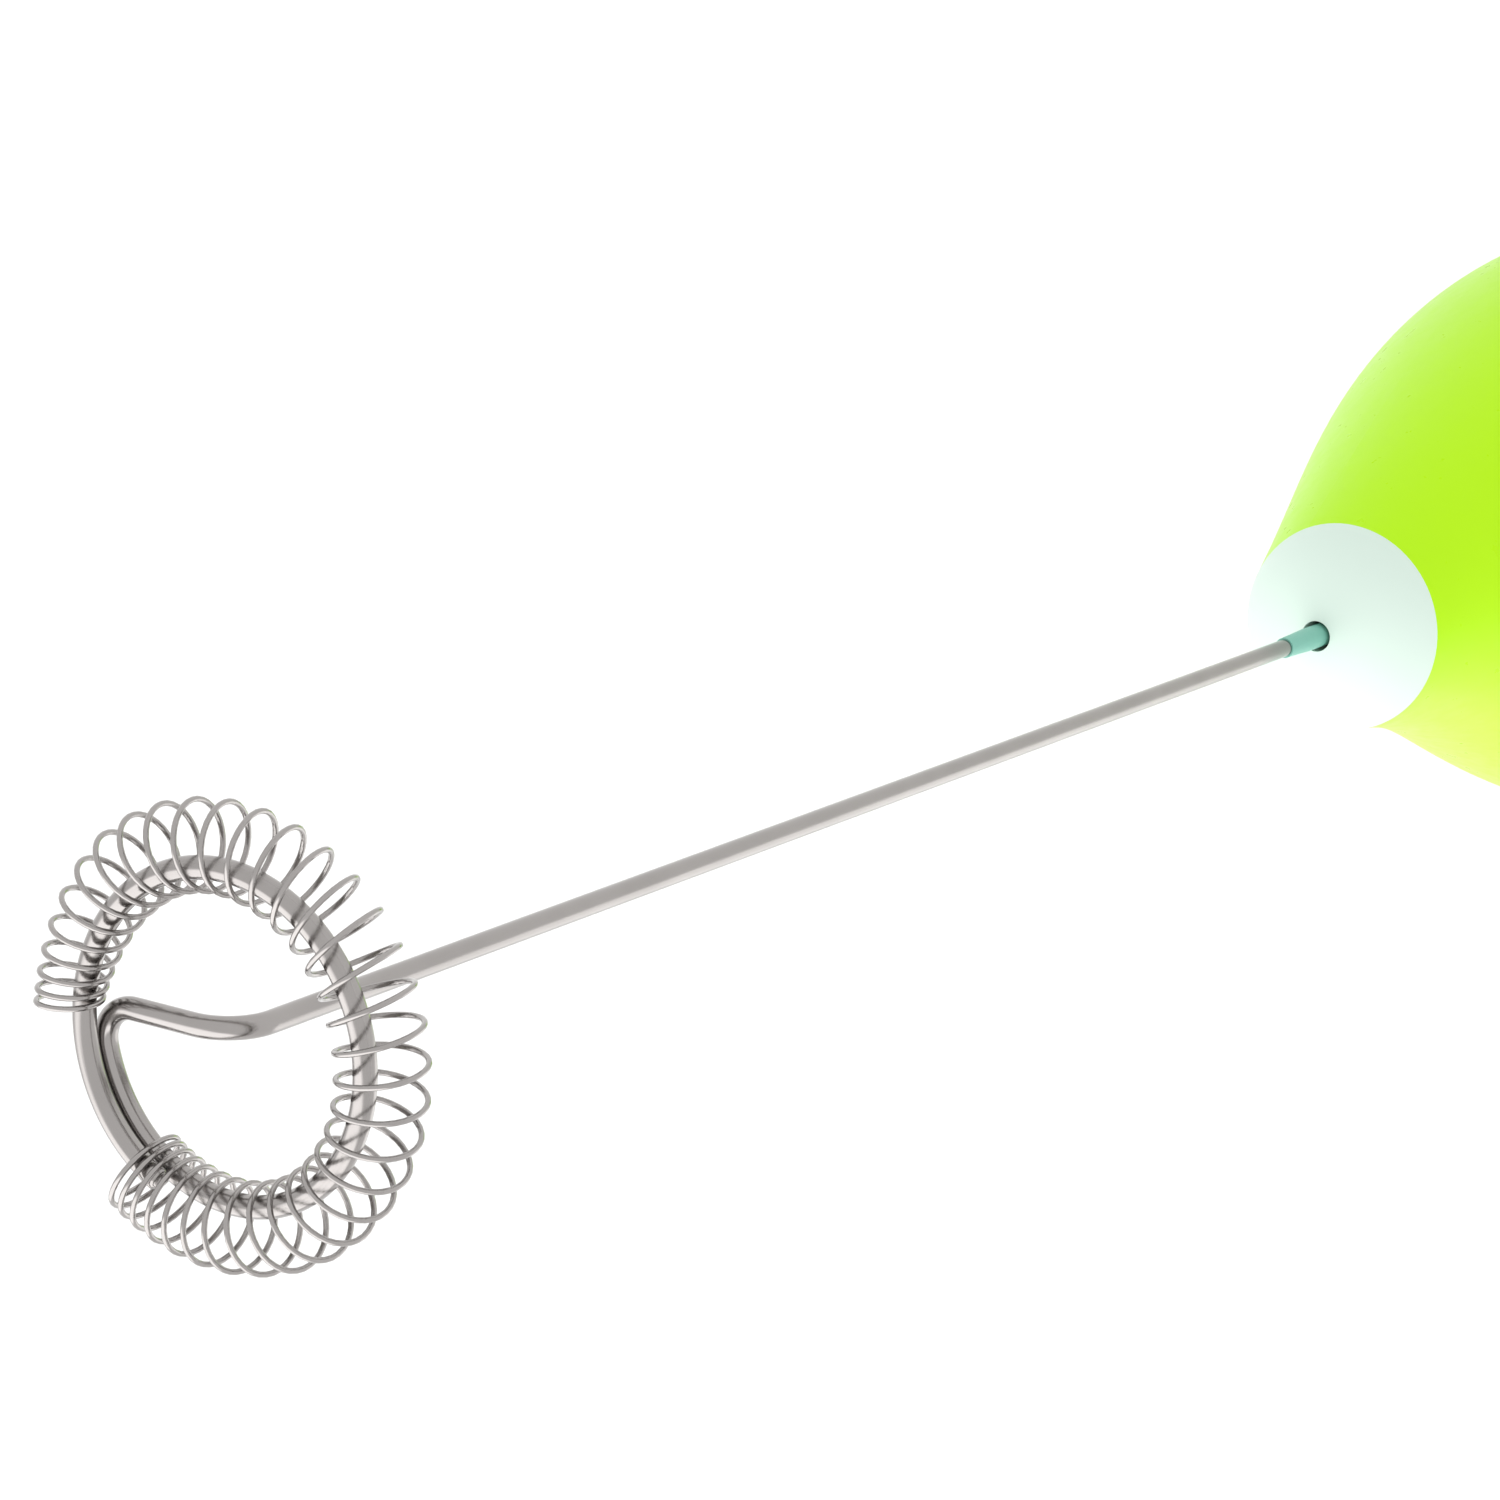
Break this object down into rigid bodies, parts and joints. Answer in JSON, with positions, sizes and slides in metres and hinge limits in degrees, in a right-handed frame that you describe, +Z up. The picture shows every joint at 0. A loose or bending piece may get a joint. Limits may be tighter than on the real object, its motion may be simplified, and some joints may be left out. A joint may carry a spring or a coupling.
{
  "type": "milk frother",
  "caption": "Battery milk frother with an egg-shaped lime handle that stands on its base, a white nose and a coil-ringed wire whisk on a long shaft.",
  "frame": {"origin": "centre of the foot pad's underside, on the shaft's axis", "axes": "+Z up the whisk's shaft, -Y towards the side with the push button"},
  "size_m": [0.0472, 0.0485, 0.2347],
  "materials": {
    "shell_green": "glossy moulded plastic",
    "nose_white": "glossy moulded plastic, faintly cool",
    "button_white": "satin moulded plastic",
    "sleeve_teal": "moulded plastic",
    "wire_steel": "drawn stainless wire, bright",
    "coil_steel": "bright spring wire",
    "inner_grey": "matt moulded plastic",
    "motor_steel": "drawn and plated steel",
    "magnet_dark": "sintered ferrite",
    "motor_nylon": "moulded nylon",
    "copper": "enamelled copper wire",
    "bronze": "oil-filled bronze",
    "battery_can": "printed sleeve over a metal can, no lettering",
    "contact_metal": "nickel-plated spring steel",
    "screw_steel": "zinc-plated steel",
    "board_green": "circuit board",
    "switch_black": "moulded plastic",
    "lead_red": "wire insulation",
    "lead_black": "wire insulation",
    "seal_rubber": "soft rubber",
    "foot_rubber": "soft rubber, fine texture"
  },
  "bodies": {
    "handle": {"front_shell": "shell_green", "rear_shell": "shell_green", "nose_cap": "nose_white", "nose_bush": "motor_nylon", "button_bezel": "button_white", "battery_holder": "inner_grey", "motor_mount": "inner_grey", "mount_screws": "screw_steel", "shell_screws": "screw_steel", "motor_can": "motor_steel", "motor_magnets": "magnet_dark", "motor_end_cap": "motor_nylon", "motor_terminals": "contact_metal", "motor_brushes": "contact_metal", "front_bearing": "bronze", "rear_bearing": "bronze", "battery_left": "battery_can", "battery_right": "battery_can", "contact_positive": "contact_metal", "contact_negative": "contact_metal", "holder_spring": "contact_metal", "switch_board": "board_green", "switch_body": "switch_black", "board_screws": "screw_steel", "lead_to_battery": "lead_red", "lead_from_switch": "lead_red", "lead_to_motor": "lead_black"},
    "whisk": {"whisk_wire": "wire_steel", "whisk_coil": "coil_steel", "shaft_coupling": "sleeve_teal", "motor_shaft": "motor_steel", "rotor_core": "motor_steel", "rotor_windings": "copper", "commutator": "copper"},
    "button": {"push_button": "button_white", "switch_plunger": "switch_black"},
    "cover": {"battery_cover": "shell_green", "contact_bridge": "contact_metal", "cover_spring": "contact_metal", "cover_seal": "seal_rubber", "foot_pad": "foot_rubber"}
  },
  "joints": [
    {"name": "whisk_spin", "type": "hinge", "parent": "handle", "child": "whisk", "pos_m": [0, 0, 0.08], "axis": [0, 0, 1], "continuous": true},
    {"name": "button_press", "type": "slide", "parent": "handle", "child": "button", "axis": [0, 1, 0], "range_m": [0, 0.0012], "stiffness_N_per_m": 600, "springref_m": -0.001},
    {"name": "cover_twist", "type": "hinge", "parent": "handle", "child": "cover", "pos_m": [0, 0, 0.006], "axis": [0, 0, 1], "range_deg": [0, 30]}
  ]
}
